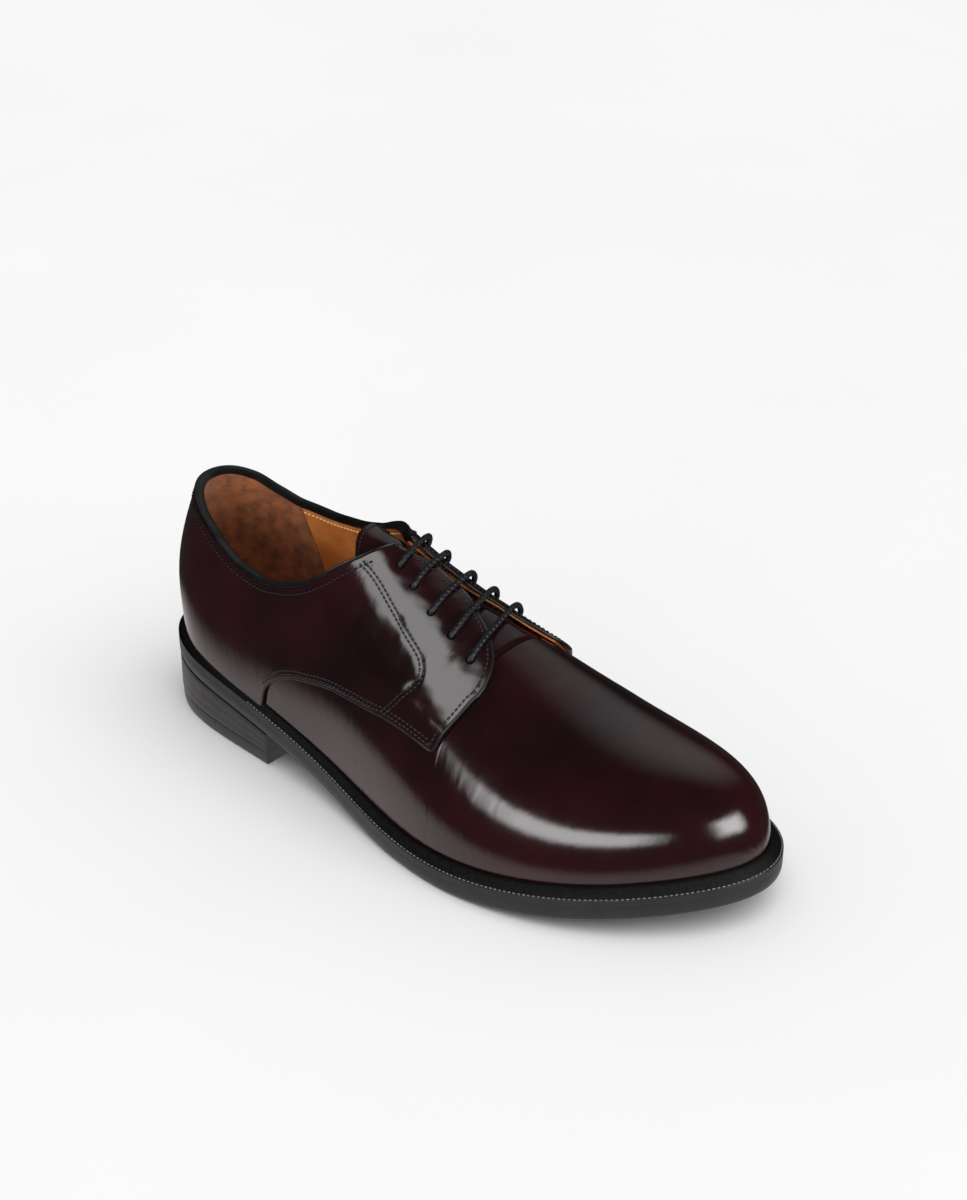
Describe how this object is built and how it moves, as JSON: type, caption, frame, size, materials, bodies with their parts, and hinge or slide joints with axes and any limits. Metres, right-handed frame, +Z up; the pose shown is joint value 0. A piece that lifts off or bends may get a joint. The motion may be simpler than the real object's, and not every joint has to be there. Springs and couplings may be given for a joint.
{
  "type": "laced leather shoe",
  "caption": "Low laced dress shoe in polished dark leather, open facings over the vamp, welted rubber sole and stacked heel, right foot.",
  "frame": {"origin": "on the ground, under the middle of the shoe's box", "axes": "+X towards the toe, +Y towards the inner side of the foot, +Z up"},
  "size_m": [0.2974, 0.1116, 0.1082],
  "materials": {
    "upper_leather": "high gloss polished, dark oxblood",
    "trim_leather": "satin black",
    "lining_leather": "matte smooth tan",
    "suede": "matte napped suede",
    "stiffener_board": "matte",
    "insole_board": "matte",
    "stay_cloth": "matte woven",
    "cork": "matte granular",
    "spring_steel": "satin",
    "sole_rubber": "satin dark grey",
    "welt_leather": "satin black, grooved",
    "lace_cord": "waxed round cord",
    "nail_steel": "bright",
    "aglet": "gloss black",
    "eyelet_brass": "satin"
  },
  "bodies": {
    "shoe": {"vamp": "upper_leather", "quarter_outer": "upper_leather", "quarter_inner": "upper_leather", "back_strip": "trim_leather", "topline_binding": "trim_leather", "vamp_lining": "lining_leather", "quarter_lining_outer": "lining_leather", "quarter_lining_inner": "lining_leather", "sock_liner": "lining_leather", "heel_grip": "suede", "heel_counter": "stiffener_board", "toe_puff": "stiffener_board", "insole": "insole_board", "facing_stay_outer": "stay_cloth", "facing_stay_inner": "stay_cloth", "insole_rib": "stay_cloth", "cork_filler": "cork", "shank": "spring_steel", "outsole": "sole_rubber", "heel_block": "sole_rubber", "top_lift": "sole_rubber", "welt": "welt_leather", "heel_rand": "welt_leather", "lace": "lace_cord", "heel_nail_1": "nail_steel", "heel_nail_2": "nail_steel", "heel_nail_3": "nail_steel", "heel_nail_4": "nail_steel", "heel_nail_5": "nail_steel", "aglet_outer": "aglet", "aglet_inner": "aglet", "blind_eyelet_outer_1": "eyelet_brass", "blind_eyelet_inner_1": "eyelet_brass", "blind_eyelet_outer_2": "eyelet_brass", "blind_eyelet_inner_2": "eyelet_brass", "blind_eyelet_outer_3": "eyelet_brass", "blind_eyelet_inner_3": "eyelet_brass", "blind_eyelet_outer_4": "eyelet_brass", "blind_eyelet_inner_4": "eyelet_brass", "blind_eyelet_outer_5": "eyelet_brass", "blind_eyelet_inner_5": "eyelet_brass"},
    "tongue": {"tongue": "upper_leather", "tongue_lining": "lining_leather"}
  },
  "joints": [
    {"name": "tongue_flex", "type": "hinge", "parent": "shoe", "child": "tongue", "pos_m": [0.0375, 0, 0.072], "axis": [0, -1, 0], "range_deg": [0, 10], "stiffness_Nm_per_rad": 0.3}
  ]
}
